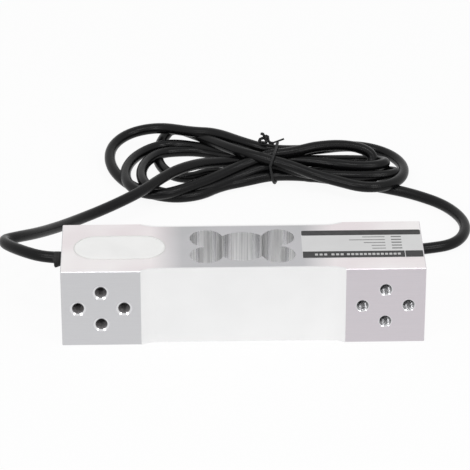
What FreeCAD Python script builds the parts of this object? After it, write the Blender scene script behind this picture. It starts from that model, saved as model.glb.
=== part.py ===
"""Single point load cell: milled beam, gauge covers, bridge wiring, label and tied cable.

The beam lies on its side. X runs along it, Y is the direction that it is loaded in,
and Z points up out of the side that shows the window, the wiring pocket and the label.
The origin is the middle of the face that it lies on. All sizes are millimetres.
"""
import FreeCAD, Part
import math
import os
import Sketcher

Vector = FreeCAD.Vector

# --- driving dimensions -------------------------------------------------------------
SIZES = [
    ("beam_length", 150, "end to end"),
    ("beam_height", 40, "across the loaded faces"),
    ("beam_width", 35, "between the two sides"),
    ("edge_chamfer", 0.3, "broken edges of the bar"),
    ("block_length", 32.8, "full-height clamping block at each end"),
    ("recess_depth", 2.0, "step from the block down to the cover"),
    ("recess_radius", 15.7, "run-out of the recess towards the block"),
    ("cover_thickness", 0.8, "silicone cover over the gauges"),
    ("cover_hollow", 0.5, "room under the cover for gauges and leads"),
    ("lobe_radius", 6.8, "bore at each corner of the window"),
    ("lobe_along", 15, "lobe centre from the middle, along the beam"),
    ("lobe_across", 7.1, "lobe centre from the neutral axis"),
    ("centre_radius", 11.95, "bore in the middle of the window"),
    ("slot_reach", 16.1, "half length of the slot that joins the bores"),
    ("pocket_length", 37.8, "wiring pocket, end to end"),
    ("pocket_width", 19.3, "wiring pocket, side to side"),
    ("pocket_depth", 6.4, "wiring pocket, from the upper side"),
    ("pocket_wall", 5.2, "end wall between the pocket and the end face"),
    ("hole_from_end", 16.4, "middle of a bolt pattern from the end face"),
    ("pitch_along", 19, "two holes of a pattern, along the beam"),
    ("pitch_across", 15, "two holes of a pattern, side to side"),
    ("tap_drill", 5.0, "core of the M6 thread"),
    ("fixed_mouth", 6.6, "countersink of the fixed end's threads"),
    ("loaded_mouth", 5.6, "countersink of the loaded end's threads"),
    ("cable_diameter", 4.8, "outside of the cable's jacket"),
    ("cable_drop", 4.8, "axis of the cable in the end face, below the upper side"),
    ("bore_clearance", 0.1, "cable bore, all round"),
    ("jacket_inside", 2.8, "jacket beyond the pocket's end wall"),
    ("core_run", 3.4, "cable bore beyond the jacket's inner end"),
    ("cable_leave", 5.5, "straight run of the cable outside the end face"),
    ("collar_diameter", 6.4, "seal sleeve at the end face"),
    ("collar_lip", 5.6, "seal sleeve at its outer end"),
    ("collar_length", 3.8, "seal sleeve outside the end face"),
    ("collar_seat", 3, "seal sleeve inside its counterbore"),
    ("lead_bore", 2.4, "drilling for the gauge leads"),
    ("lead_margin", 0.1, "outermost lead from the end of the recess's flat"),
    ("hollow_margin", 0.5, "room round the gauges and leads, in the cover's plane"),
    ("hollow_below", 3, "room under the gauges, in the cover's plane"),
    ("gauge_length", 9, "strain gauge backing, along the beam"),
    ("gauge_width", 7, "strain gauge backing, side to side"),
    ("gauge_thickness", 0.2, "strain gauge with its adhesive"),
    ("tab_length", 3, "solder terminal, along the beam"),
    ("tab_width", 5, "solder terminal, side to side"),
    ("tab_thickness", 0.4, "solder terminal"),
    ("tab_gap", 0.8, "between a gauge and its terminal"),
    ("lead_diameter", 0.4, "enamelled gauge lead"),
    ("lead_pitch", 0.7, "between two gauge leads"),
    ("lead_fan", 1.4, "between two gauge leads at their terminal"),
    ("lead_turn", 5, "gauge leads turn down, below their drilling"),
    ("lead_sag", 0.2, "gauge leads sink between drilling and pad"),
    ("wire_detour", 2.2, "bridge wires from the gauges' edge"),
    ("board_length", 22, "bridge board"),
    ("board_width", 13, "bridge board"),
    ("board_thickness", 0.8, "bridge board"),
    ("board_stand", 0.2, "potting under the board"),
    ("board_from_wall", 9.8, "board's edge from the pocket's cable end"),
    ("resistor_length", 5, "compensation resistor"),
    ("resistor_width", 2.2, "compensation resistor"),
    ("resistor_height", 1.4, "compensation resistor"),
    ("resistor_pitch", 3.6, "between two compensation resistors"),
    ("resistor_shift", 1, "resistors from the middle of the board"),
    ("core_diameter", 1.1, "insulated core of the cable"),
    ("core_ring", 1.15, "core's middle from the cable's axis"),
    ("drain_diameter", 0.6, "bare drain wire"),
    ("pad_pitch", 2.3, "between two solder pads"),
    ("pad_inset", 2.5, "gauge leads' solder pads from the board's end"),
    ("pad_side", 2.6, "gauge leads' solder pads from the board's side"),
    ("core_lap", 3.2, "cores over the board's edge"),
    ("core_level", 2.0, "cores are level with the board before its edge"),
    ("label_length", 50, "foil label"),
    ("label_width", 23.2, "foil label"),
    ("label_thickness", 0.1, "foil label"),
    ("label_corner", 0.8, "foil label"),
    ("label_inset", 0.35, "label's edge from the end face"),
    ("label_shift", 0.9, "label's middle from the neutral axis"),
    ("bare_length", 26, "cores beyond the jacket's free end"),
    ("core_fan", 3.2, "between two core ends"),
    ("tie_diameter", 1.3, "coated wire of the twist tie"),
    ("tie_clearance", 0.35, "twist tie from the bundle"),
]

document = FreeCAD.newDocument("SinglePointLoadCell")
sheet = document.addObject("Spreadsheet::Sheet", "Sheet")
for row, (alias, number, meaning) in enumerate(SIZES, start=1):
    sheet.set(f"A{row}", alias)
    sheet.set(f"B{row}", str(number))
    sheet.set(f"C{row}", meaning)
    sheet.setAlias(f"B{row}", alias)
document.recompute()
size = {alias: float(sheet.get(alias)) for alias, _number, _meaning in SIZES}

HALF_LENGTH = size["beam_length"] / 2
HALF_HEIGHT = size["beam_height"] / 2
TOP = size["beam_width"]
MID_WIDTH = size["beam_width"] / 2
END_FACE = -HALF_LENGTH
CABLE_Z = TOP - size["cable_drop"]
CABLE_Z_FORMULA = "(Sheet.beam_width - Sheet.cable_drop)"


# --- small helpers ------------------------------------------------------------------
def new_body(label):
    """Start a sub-part's body; its label names the node and the file."""
    body = document.addObject("PartDesign::Body", label)
    body.Label = label
    return body


def sketch_on(body, name, role, offset=None):
    """Attach a sketch to one of the body's own origin planes, moved along its normal."""
    plane = next(item for item in body.Origin.OriginFeatures if item.Role == role)
    sketch = body.newObject("Sketcher::SketchObject", name)
    sketch.AttachmentSupport = [(plane, "")]
    sketch.MapMode = "FlatFace"
    if offset:
        sketch.setExpression("AttachmentOffset.Base.z", offset)
    return sketch


def dimension(sketch, kind, where, number, formula):
    """Add a driving dimension and tie it to the sheet."""
    index = sketch.addConstraint(Sketcher.Constraint(kind, *where, number))
    sketch.setExpression(f"Constraints[{index}]", formula)


def circle(sketch, x, y, diameter, x_formula, y_formula, diameter_formula):
    """Draw a circle whose centre and diameter follow the sheet."""
    index = sketch.addGeometry(Part.Circle(Vector(x, y, 0), Vector(0, 0, 1), diameter / 2), False)
    dimension(sketch, "Diameter", (index,), diameter, diameter_formula)
    dimension(sketch, "DistanceX", (-1, 1, index, 3), x, x_formula)
    dimension(sketch, "DistanceY", (-1, 1, index, 3), y, y_formula)


def rectangle(sketch, length, width, length_formula, width_formula, x=0, y=0, x_formula="0", y_formula="0"):
    """Draw a rectangle about (x, y) whose sides and place follow the sheet."""
    corners = [
        Vector(x - length / 2, y - width / 2, 0),
        Vector(x + length / 2, y - width / 2, 0),
        Vector(x + length / 2, y + width / 2, 0),
        Vector(x - length / 2, y + width / 2, 0),
    ]
    first = None
    for index in range(4):
        line = sketch.addGeometry(Part.LineSegment(corners[index], corners[(index + 1) % 4]), False)
        first = line if first is None else first
    for index in range(4):
        sketch.addConstraint(Sketcher.Constraint("Coincident", first + index, 2, first + (index + 1) % 4, 1))
    for index in (0, 2):
        sketch.addConstraint(Sketcher.Constraint("Horizontal", first + index))
        sketch.addConstraint(Sketcher.Constraint("Vertical", first + index + 1))
    dimension(sketch, "DistanceX", (first, 1, first, 2), length, length_formula)
    dimension(sketch, "DistanceY", (first + 1, 1, first + 1, 2), width, width_formula)
    dimension(sketch, "DistanceX", (-1, 1, first, 1), x - length / 2, f"{x_formula} - ({length_formula}) / 2")
    dimension(sketch, "DistanceY", (-1, 1, first, 1), y - width / 2, f"{y_formula} - ({width_formula}) / 2")


def outline(sketch, edges):
    """Draw a closed outline of lines and arcs given in order."""
    for edge in edges:
        sketch.addGeometry(edge, False)


def pad(body, sketch, name, formula, reverse=False):
    """Extrude a sketch by a length from the sheet."""
    feature = body.newObject("PartDesign::Pad", name)
    feature.Profile = sketch
    feature.Reversed = reverse
    feature.setExpression("Length", formula)
    document.recompute()
    return feature


def pocket(body, sketch, name, formula=None, reverse=False):
    """Cut a sketch into the body, to a depth from the sheet or right through."""
    before = body.Shape.Volume
    feature = body.newObject("PartDesign::Pocket", name)
    feature.Profile = sketch
    feature.Reversed = reverse
    if formula:
        feature.setExpression("Length", formula)
    else:
        feature.Type = "ThroughAll"
    document.recompute()
    assert feature.Shape.Volume < before - 0.01, f"{name} cuts nothing"
    return feature


def mirrored(body, name, features, role):
    """Repeat features on the other side of one of the body's origin planes."""
    feature = body.newObject("PartDesign::Mirrored", name)
    feature.Originals = features
    feature.MirrorPlane = (next(item for item in body.Origin.OriginFeatures if item.Role == role), [""])
    body.Tip = feature
    document.recompute()
    return feature


def shape_node(label, shape):
    """Keep a shape made with Part's own functions as a sub-part."""
    feature = document.addObject("Part::Feature", label)
    feature.Label = label
    feature.Shape = shape
    feature.Placement = FreeCAD.Placement()
    return feature


def box_node(label, sides, corner):
    """Make a plain block whose three sides and lowest corner are formulas of the sheet."""
    block = document.addObject("Part::Box", label)
    block.Label = label
    for side, formula in zip(("Length", "Width", "Height"), sides):
        block.setExpression(side, formula)
    for axis, formula in zip("xyz", corner):
        block.setExpression(f"Placement.Base.{axis}", formula)
    document.recompute()
    return block


def route_wire(points):
    """Join the points by straight runs and tangent arcs, and return the wire and its radii."""
    corners = [Vector(*point) for point in points]
    edges = []
    radii = []
    start = corners[0]
    for before, here, after in zip(corners, corners[1:], corners[2:]):
        back = (before - here).normalize()
        ahead = (after - here).normalize()
        shorter = min((before - here).Length, (after - here).Length)
        half_turn = (math.pi - back.getAngle(ahead)) / 2
        reach = 0.45 * shorter
        radius = reach / math.tan(half_turn)
        enter = here + back * reach
        leave = here + ahead * reach
        middle = (back + ahead).normalize()
        centre = here + middle * (radius / math.cos(half_turn))
        crown = centre - middle * radius
        edges.append(Part.LineSegment(start, enter).toShape())
        edges.append(Part.Arc(enter, crown, leave).toShape())
        radii.append(radius)
        start = leave
    edges.append(Part.LineSegment(start, corners[-1]).toShape())
    return Part.Wire(edges), radii


def tube(points, diameter, name):
    """Sweep a round section along a route, and compare its volume with section times length."""
    wire, radii = route_wire(points)
    first = Vector(*points[0])
    heading = (Vector(*points[1]) - first).normalize()
    section = Part.Face(Part.Wire([Part.Circle(first, heading, diameter / 2).toShape()]))
    solid = wire.makePipe(section)
    expected = math.pi * diameter ** 2 / 4 * wire.Length
    assert abs(solid.Volume / expected - 1) < 0.02, f"{name} has the wrong volume"
    if diameter == size["cable_diameter"]:
        listed = ", ".join(f"{radius:.1f}" for radius in radii)
        print(f"{name}: length {wire.Length:.1f}, smallest radius {min(radii):.1f}, radii {listed}")
    return solid


# --- the beam -----------------------------------------------------------------------
RUN_OUT = math.sqrt(size["recess_radius"] ** 2 - (size["recess_radius"] - size["recess_depth"]) ** 2)
BLOCK_EDGE = HALF_LENGTH - size["block_length"]
FLAT_EDGE = BLOCK_EDGE - RUN_OUT
COVER_FACE = HALF_HEIGHT - size["recess_depth"]
METAL_FACE = COVER_FACE - size["cover_thickness"]
ARC_CENTRE = COVER_FACE + size["recess_radius"]


def recess_edge(radius):
    """Return the points of a recess profile at a radius about the run-out's centre."""
    drop = math.sqrt(radius ** 2 - RUN_OUT ** 2)
    sweep = math.asin(RUN_OUT / radius) / 2
    crown = Vector(-FLAT_EDGE - radius * math.sin(sweep), -ARC_CENTRE + radius * math.cos(sweep), 0)
    outer = Vector(-BLOCK_EDGE, -ARC_CENTRE + drop, 0)
    inner = Vector(-FLAT_EDGE, -ARC_CENTRE + radius, 0)
    return outer, crown, inner


def flip(point):
    """Mirror a point of a profile to the other half of the beam."""
    return Vector(-point.x, point.y, point.z)


def recess_curve(radius):
    """Return arc, flat and arc of a recess profile, from the left block to the right one."""
    outer, crown, inner = recess_edge(radius)
    return [
        Part.Arc(outer, crown, inner),
        Part.LineSegment(inner, flip(inner)),
        Part.Arc(flip(inner), flip(crown), flip(outer)),
    ]


METAL_RADIUS = size["recess_radius"] + size["cover_thickness"]
POCKET_X = -HALF_LENGTH + size["pocket_wall"] + size["pocket_length"] / 2
POCKET_FLOOR = TOP - size["pocket_depth"]
LEAD_BORE_X = -(FLAT_EDGE - size["lead_pitch"] - size["lead_diameter"] / 2 - size["lead_margin"])
HOLE_X = HALF_LENGTH - size["hole_from_end"]

beam = new_body("beam")
bar = sketch_on(beam, "bar_outline", "XY_Plane")
rectangle(bar, size["beam_length"], size["beam_height"], "Sheet.beam_length", "Sheet.beam_height")
bar_pad = pad(beam, bar, "bar", "Sheet.beam_width")
broken = beam.newObject("PartDesign::Chamfer", "broken_edges")
broken.Base = (bar_pad, [f"Edge{number}" for number in range(1, 13)])
broken.setExpression("Size", "Sheet.edge_chamfer")
document.recompute()

recess = sketch_on(beam, "recess_profile", "XY_Plane")
recess_corner = recess_edge(METAL_RADIUS)[0]
outside = Vector(recess_corner.x, -HALF_HEIGHT - 1, 0)
outline(recess, [Part.LineSegment(outside, recess_corner)])
outline(recess, recess_curve(METAL_RADIUS))
outline(recess, [Part.LineSegment(flip(recess_corner), flip(outside)), Part.LineSegment(flip(outside), outside)])
recess_cut = pocket(beam, recess, "front_recess", reverse=True)
mirrored(beam, "rear_recess", [recess_cut], "XZ_Plane")

middle = sketch_on(beam, "middle_bore", "XY_Plane")
circle(middle, 0, 0, 2 * size["centre_radius"], "0", "0", "2 * Sheet.centre_radius")
pocket(beam, middle, "window_middle", reverse=True)
lobes = sketch_on(beam, "lobe_bores", "XY_Plane")
for along in (-1, 1):
    for across in (-1, 1):
        circle(
            lobes, along * size["lobe_along"], across * size["lobe_across"], 2 * size["lobe_radius"],
            f"{along} * Sheet.lobe_along", f"{across} * Sheet.lobe_across", "2 * Sheet.lobe_radius",
        )
pocket(beam, lobes, "window_lobes", reverse=True)
slot = sketch_on(beam, "slot_outline", "XY_Plane")
rectangle(
    slot, 2 * size["slot_reach"], 2 * size["lobe_across"], "2 * Sheet.slot_reach", "2 * Sheet.lobe_across",
)
pocket(beam, slot, "window_slot", reverse=True)


def obround(sketch, length, width, x):
    """Draw a slot with round ends about (x, 0), tied to the sheet."""
    radius = width / 2
    reach = length / 2 - radius
    corners = [Vector(x + sx * reach, sy * radius, 0) for sx, sy in ((-1, -1), (1, -1), (1, 1), (-1, 1))]
    outline(sketch, [
        Part.LineSegment(corners[0], corners[1]),
        Part.Arc(corners[1], Vector(x + reach + radius, 0, 0), corners[2]),
        Part.LineSegment(corners[2], corners[3]),
        Part.Arc(corners[3], Vector(x - reach - radius, 0, 0), corners[0]),
    ])


wiring = sketch_on(beam, "pocket_outline", "XY_Plane", "Sheet.beam_width")
obround(wiring, size["pocket_length"], size["pocket_width"], POCKET_X)
pocket(beam, wiring, "wiring_pocket", "Sheet.pocket_depth")

cable_bore = sketch_on(beam, "cable_bore_outline", "YZ_Plane", "-Sheet.beam_length / 2")
circle(
    cable_bore, 0, CABLE_Z, size["cable_diameter"] + 2 * size["bore_clearance"],
    "0", CABLE_Z_FORMULA, "Sheet.cable_diameter + 2 * Sheet.bore_clearance",
)
pocket(
    beam, cable_bore, "cable_bore", "Sheet.pocket_wall + Sheet.jacket_inside + Sheet.core_run", reverse=True,
)
seat = sketch_on(beam, "collar_seat_outline", "YZ_Plane", "-Sheet.beam_length / 2")
circle(seat, 0, CABLE_Z, size["collar_diameter"], "0", CABLE_Z_FORMULA, "Sheet.collar_diameter")
pocket(beam, seat, "collar_counterbore", "Sheet.collar_seat", reverse=True)

for side, reverse in (("front", True), ("rear", False)):
    lead_bore = sketch_on(beam, f"{side}_lead_bore_outline", "XZ_Plane")
    circle(
        lead_bore, LEAD_BORE_X, CABLE_Z, size["lead_bore"], str(LEAD_BORE_X), CABLE_Z_FORMULA,
        "Sheet.lead_bore",
    )
    pocket(beam, lead_bore, f"{side}_lead_bore", reverse=reverse)


def tapped_holes(name, x, x_formula, rear, mouth_formula):
    """Drill a diamond of four tapping holes through the beam, with the mouths of one face."""
    offset = "-Sheet.beam_height / 2" if rear else "Sheet.beam_height / 2"
    centres = sketch_on(beam, f"{name}_centres", "XZ_Plane", offset)
    for along, across in ((-1, 0), (1, 0), (0, -1), (0, 1)):
        circle(
            centres, x + along * size["pitch_along"] / 2, MID_WIDTH + across * size["pitch_across"] / 2,
            size["tap_drill"], f"{x_formula} + {along} * Sheet.pitch_along / 2",
            f"Sheet.beam_width / 2 + {across} * Sheet.pitch_across / 2", "Sheet.tap_drill",
        )
    document.recompute()
    before = beam.Shape.Volume
    hole = beam.newObject("PartDesign::Hole", name)
    hole.Profile = centres
    hole.Reversed = rear
    hole.setExpression("Diameter", "Sheet.tap_drill")
    hole.HoleCutType = "Countersink"
    hole.HoleCutCustomValues = True
    hole.HoleCutCountersinkAngle = 120
    hole.DepthType = "ThroughAll"
    hole.setExpression("HoleCutDiameter", mouth_formula)
    document.recompute()
    assert hole.Shape.Volume < before - 1, f"{name} cuts nothing"


HOLE_X_FORMULA = "(Sheet.beam_length / 2 - Sheet.hole_from_end)"
for end, x, x_formula in (("fixed_end", -HOLE_X, f"-{HOLE_X_FORMULA}"), ("loaded_end", HOLE_X, HOLE_X_FORMULA)):
    mouth_formula = "Sheet.fixed_mouth" if end == "fixed_end" else "Sheet.loaded_mouth"
    tapped_holes(f"{end}_front", x, x_formula, False, mouth_formula)
    tapped_holes(f"{end}_rear", x, x_formula, True, mouth_formula)

# --- gauge covers -------------------------------------------------------------------
TAB_X = size["lobe_along"] + size["gauge_length"] / 2 + size["tab_gap"] + size["tab_length"] / 2
HOLLOW_LEFT = LEAD_BORE_X - size["lead_bore"] / 2 - size["lead_margin"]
HOLLOW_RIGHT = TAB_X + size["tab_length"] / 2 + size["hollow_margin"]
HOLLOW_LOW = MID_WIDTH - size["gauge_width"] / 2 - size["hollow_below"]
HOLLOW_HIGH = CABLE_Z + size["lead_bore"] / 2 + size["hollow_margin"]


def gauge_cover(label, rear):
    """Make the silicone cover that follows the recess, hollow where the gauges lie."""
    cover = new_body(label)
    profile = sketch_on(cover, f"{label}_profile", "XY_Plane")
    inner = recess_curve(METAL_RADIUS)
    outer = recess_curve(size["recess_radius"])
    left = Part.LineSegment(recess_edge(size["recess_radius"])[0], recess_edge(METAL_RADIUS)[0])
    right_top = flip(recess_edge(METAL_RADIUS)[0])
    right_bottom = flip(recess_edge(size["recess_radius"])[0])
    edges = outer + inner + [left, Part.LineSegment(right_bottom, right_top)]
    if rear:
        for edge in edges:
            edge.mirror(Vector(0, 0, 0), Vector(1, 0, 0))
    outline(profile, edges)
    pad(cover, profile, f"{label}_sheet", "Sheet.beam_width")
    hollow = sketch_on(cover, f"{label}_hollow_outline", "XZ_Plane")
    rectangle(
        hollow, HOLLOW_RIGHT - HOLLOW_LEFT, HOLLOW_HIGH - HOLLOW_LOW,
        str(HOLLOW_RIGHT - HOLLOW_LEFT), str(HOLLOW_HIGH - HOLLOW_LOW),
        (HOLLOW_LEFT + HOLLOW_RIGHT) / 2, (HOLLOW_LOW + HOLLOW_HIGH) / 2,
        str((HOLLOW_LEFT + HOLLOW_RIGHT) / 2), str((HOLLOW_LOW + HOLLOW_HIGH) / 2),
    )
    reach = "Sheet.beam_height / 2 - Sheet.recess_depth - Sheet.cover_thickness + Sheet.cover_hollow"
    pocket(cover, hollow, f"{label}_hollow", reach, reverse=not rear)
    return cover


gauge_cover("gauge_cover_front", False)
gauge_cover("gauge_cover_rear", True)

# --- strain gauges, terminals and their leads ------------------------------------------
TAB_X_FORMULA = "(Sheet.lobe_along + Sheet.gauge_length / 2 + Sheet.tab_gap + Sheet.tab_length / 2)"
METAL_FORMULA = "(Sheet.beam_height / 2 - Sheet.recess_depth - Sheet.cover_thickness)"
for side, sign in (("front", -1), ("rear", 1)):
    for end, place in (("fixed_end", -1), ("loaded_end", 1)):
        for piece, kind, middle_x in (
            ("strain_gauge", "gauge", "Sheet.lobe_along"), ("solder_terminal", "tab", TAB_X_FORMULA),
        ):
            thickness = f"Sheet.{kind}_thickness"
            box_node(
                f"{piece}_{side}_{end}",
                (f"Sheet.{kind}_length", thickness, f"Sheet.{kind}_width"),
                (
                    f"{place} * {middle_x} - Sheet.{kind}_length / 2",
                    METAL_FORMULA if sign > 0 else f"-{METAL_FORMULA} - {thickness}",
                    f"Sheet.beam_width / 2 - Sheet.{kind}_width / 2",
                ),
            )

BOARD_X = -HALF_LENGTH + size["pocket_wall"] + size["board_from_wall"]
BOARD_END = BOARD_X + size["board_length"]
BOARD_TOP = POCKET_FLOOR + size["board_stand"] + size["board_thickness"]
PAD_X = BOARD_END - size["pad_inset"]


def gauge_leads(side, sign):
    """Make the three enamelled leads from a terminal through the drilling to the board."""
    under_cover = sign * (METAL_FACE + size["cover_hollow"] / 2)
    solids = []
    for index in (-1, 0, 1):
        shift = index * size["lead_pitch"]
        bore_x = LEAD_BORE_X + shift
        tab_end = -TAB_X - size["tab_length"] / 2
        pad_y = sign * (size["board_width"] / 2 - size["pad_side"] - shift)
        rise = MID_WIDTH - index * size["lead_fan"]
        route = [
            (tab_end, under_cover, rise),
            ((tab_end + bore_x) / 2 - shift, under_cover, rise),
            (bore_x, under_cover, CABLE_Z - size["lead_turn"] + shift),
            (bore_x, under_cover, CABLE_Z),
            (bore_x, sign * (METAL_FACE - size["lead_bore"] / 2), CABLE_Z),
            (bore_x, pad_y, CABLE_Z - size["lead_sag"]),
            (PAD_X, pad_y, BOARD_TOP + size["lead_diameter"] / 2),
        ]
        solids.append(tube(route, size["lead_diameter"], f"gauge_leads_{side}"))
    return shape_node(f"gauge_leads_{side}", Part.Compound(solids))


def bridge_wires(side, sign):
    """Make the two enamelled wires that join the terminals of one face, clear of the gauges."""
    under_cover = sign * (METAL_FACE + size["cover_hollow"] / 2)
    solids = []
    for index in (-1, 1):
        x = TAB_X + index * size["lead_pitch"] / 2
        edge = MID_WIDTH + size["tab_width"] / 2
        height = MID_WIDTH + size["gauge_width"] / 2 + size["wire_detour"] + index * size["lead_pitch"] / 2
        route = [
            (-x, under_cover, edge),
            (-x, under_cover, height),
            (x, under_cover, height),
            (x, under_cover, edge),
        ]
        solids.append(tube(route, size["lead_diameter"], f"bridge_wires_{side}"))
    return shape_node(f"bridge_wires_{side}", Part.Compound(solids))


inside = [gauge_leads("front", -1), gauge_leads("rear", 1)]
bridge_wires("front", -1)
bridge_wires("rear", 1)

# --- bridge board and the cable's cores in the pocket ------------------------------------
BOARD_X_FORMULA = "(Sheet.pocket_wall + Sheet.board_from_wall - Sheet.beam_length / 2)"
BOARD_LOW_FORMULA = "(Sheet.beam_width - Sheet.pocket_depth + Sheet.board_stand)"
inside.append(box_node(
    "bridge_board",
    ("Sheet.board_length", "Sheet.board_width", "Sheet.board_thickness"),
    (BOARD_X_FORMULA, "-Sheet.board_width / 2", BOARD_LOW_FORMULA),
))
for index, label in enumerate(("zero_trim_resistor", "span_trim_resistor", "temperature_resistor")):
    along = f"{BOARD_X_FORMULA} + Sheet.board_length / 2 + Sheet.resistor_shift"
    inside.append(box_node(
        label,
        ("Sheet.resistor_length", "Sheet.resistor_width", "Sheet.resistor_height"),
        (
            f"{along} - Sheet.resistor_length / 2",
            f"{index - 1} * Sheet.resistor_pitch - Sheet.resistor_width / 2",
            f"{BOARD_LOW_FORMULA} + Sheet.board_thickness",
        ),
    ))

# The cable's route, chosen by hand: out of the end face, round behind the beam, to the hank
LEAD_ROUTE = [
    (END_FACE + size["pocket_wall"] + size["jacket_inside"], 0, CABLE_Z),
    (END_FACE - size["cable_leave"], 0, CABLE_Z),
    (END_FACE - 18.5, 9, 29.4),
    (END_FACE - 26.8, 21.5, 26.8),
    (END_FACE - 19, 30.5, 24),
    (-87, 41, 20),
    (-78.5, 57, 14.3),
    (-69, 73, 10.6),
    (-56.5, 84, 9.2),
    (-43, 91.5, 10.6),
    (-31, 103.5, 11.4),
]
TAIL_ROUTE = [
    (62, 114.5, size["cable_diameter"] / 2),
    (81, 104, size["cable_diameter"] / 2),
    (95, 91, size["cable_diameter"] / 2),
    (101.5, 74, size["cable_diameter"] / 2),
    (95.5, 57.5, size["cable_diameter"] / 2),
    (79.5, 53, size["cable_diameter"] / 2),
    (62.5, 51.5, size["cable_diameter"] / 2),
    (46, 54.5, size["cable_diameter"] / 2),
]

jacket_end = Vector(*LEAD_ROUTE[0])
CORES = [("red", 1, 1, 1), ("black", 1, -1, 2), ("white", -1, -1, -2), ("green", -1, 1, -1)]
corner = size["core_ring"] / math.sqrt(2)
for colour, y_side, z_side, place in CORES:
    start = jacket_end + Vector(0, y_side * corner, z_side * corner)
    core_z = BOARD_TOP + size["core_diameter"] / 2
    route = [
        tuple(start),
        tuple(start + Vector(size["core_run"] / 2, 0, 0)),
        (BOARD_X - size["core_level"], place * size["pad_pitch"], core_z),
        (BOARD_X + size["core_lap"], place * size["pad_pitch"], core_z),
    ]
    inside.append(shape_node(f"core_{colour}_inner", tube(route, size["core_diameter"], "core")))
drain_z = BOARD_TOP + size["drain_diameter"] / 2
drain = [
    tuple(jacket_end),
    tuple(jacket_end + Vector(size["core_run"] / 2, 0, 0)),
    (BOARD_X - size["core_level"], 0, drain_z),
    (BOARD_X + size["core_lap"], 0, drain_z),
]
inside.append(shape_node("drain_wire_inner", tube(drain, size["drain_diameter"], "drain")))

# --- the cable's bundle, tube and tie -------------------------------------------------
# Sections of the tied hank: place along X, side to side in Y, under and over in Z
HANK_SECTIONS = [
    (-60, 137, 152, 1.4, 5.6),
    (-54, 116, 162, 0.5, 9.5),
    (-41, 100, 169, 0.5, 13.5),
    (-27, 98, 168, 0.5, 14.6),
    (-8, 107, 154.5, 0.5, 14.6),
    (14.6, 118.6, 138.4, 2.0, 13.4),
    (38, 104.5, 146, 0.5, 14.6),
    (55, 98.5, 147, 0.5, 14.4),
    (68, 100.5, 142, 0.5, 12.2),
    (77.4, 113, 128, 1.6, 7.5),
]
TIE_SECTION = HANK_SECTIONS[5]


def oval(x, y_low, y_high, z_low, z_high, grow=0):
    """Return an upright oval wire across X."""
    middle_point = Vector(x, (y_low + y_high) / 2, (z_low + z_high) / 2)
    across = (y_high - y_low) / 2 + grow
    rise = (z_high - z_low) / 2 + grow
    ellipse = Part.Ellipse(
        middle_point + Vector(0, across, 0), middle_point + Vector(0, 0, rise), middle_point,
    )
    return Part.Wire([ellipse.toShape()])


hank_shape = Part.makeLoft([oval(*section) for section in HANK_SECTIONS], True, False)
hank = shape_node("cable_hank", hank_shape)

lead_tube = tube(LEAD_ROUTE, size["cable_diameter"], "cable_lead")
lead = shape_node("cable_lead", lead_tube.cut(hank_shape))
tail_tube = tube(TAIL_ROUTE, size["cable_diameter"], "cable_tail")
tail = shape_node("cable_tail", tail_tube.cut(hank_shape))

# The tie's ring is two flat runs and two half circles round the waist of the hank
TIE_X, TIE_LOW, TIE_HIGH, TIE_UNDER, TIE_OVER = TIE_SECTION
tie_grow = size["tie_clearance"] + size["tie_diameter"] / 2
bend = (TIE_OVER - TIE_UNDER) / 2 + tie_grow
tie_axis = (TIE_OVER + TIE_UNDER) / 2
run_low = TIE_LOW - tie_grow + bend
run_high = TIE_HIGH + tie_grow - bend
under_low = Vector(TIE_X, run_low, tie_axis - bend)
over_low = Vector(TIE_X, run_low, tie_axis + bend)
wire_radius = size["tie_diameter"] / 2
ring_parts = [
    Part.makeCylinder(wire_radius, run_high - run_low, under_low, Vector(0, 1, 0)),
    Part.makeCylinder(wire_radius, run_high - run_low, over_low, Vector(0, 1, 0)),
]
room = 2 * bend
for centre_y, low_y in ((run_high, run_high), (run_low, run_low - room)):
    whole = Part.makeTorus(bend, wire_radius, Vector(TIE_X, centre_y, tie_axis), Vector(1, 0, 0))
    keep = Part.makeBox(room, room, 2 * room, Vector(TIE_X - bend, low_y, tie_axis - room))
    ring_parts.append(whole.common(keep))
tie_ring = ring_parts[0].fuse(ring_parts[1:])
tie_top = Vector(TIE_SECTION[0], (TIE_SECTION[1] + TIE_SECTION[2]) / 2 + 4.6, TIE_SECTION[4] + 0.4)
pigtail = [tuple(tie_top), tuple(tie_top + Vector(-2, 1.2, 2.2)), tuple(tie_top + Vector(-4.4, 1.6, 4.6))]
free_tail = [tuple(tie_top), tuple(tie_top + Vector(3.2, 0.6, 1.4)), tuple(tie_top + Vector(7, 1, 2.2))]
tie_shape = tie_ring.fuse([
    tube(pigtail, 2 * size["tie_diameter"], "pigtail"),
    tube(free_tail, size["tie_diameter"], "free tail"),
])
shape_node("twist_tie", tie_shape)

# --- seal sleeve ------------------------------------------------------------------------
collar = new_body("cable_collar")
section = sketch_on(collar, "collar_section", "XY_Plane", CABLE_Z_FORMULA)
inner_radius = size["cable_diameter"] / 2
seat_x = -HALF_LENGTH + size["collar_seat"]
lip_x = -HALF_LENGTH - size["collar_length"]
profile_points = [
    Vector(seat_x, inner_radius, 0),
    Vector(seat_x, size["collar_diameter"] / 2, 0),
    Vector(-HALF_LENGTH, size["collar_diameter"] / 2, 0),
    Vector(lip_x, size["collar_lip"] / 2, 0),
    Vector(lip_x, inner_radius, 0),
]
outline(section, [
    Part.LineSegment(profile_points[index], profile_points[(index + 1) % 5]) for index in range(5)
])
turned = collar.newObject("PartDesign::Revolution", "collar_turned")
turned.Profile = section
turned.ReferenceAxis = (section, ["H_Axis"])
turned.Angle = 360
document.recompute()

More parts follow.
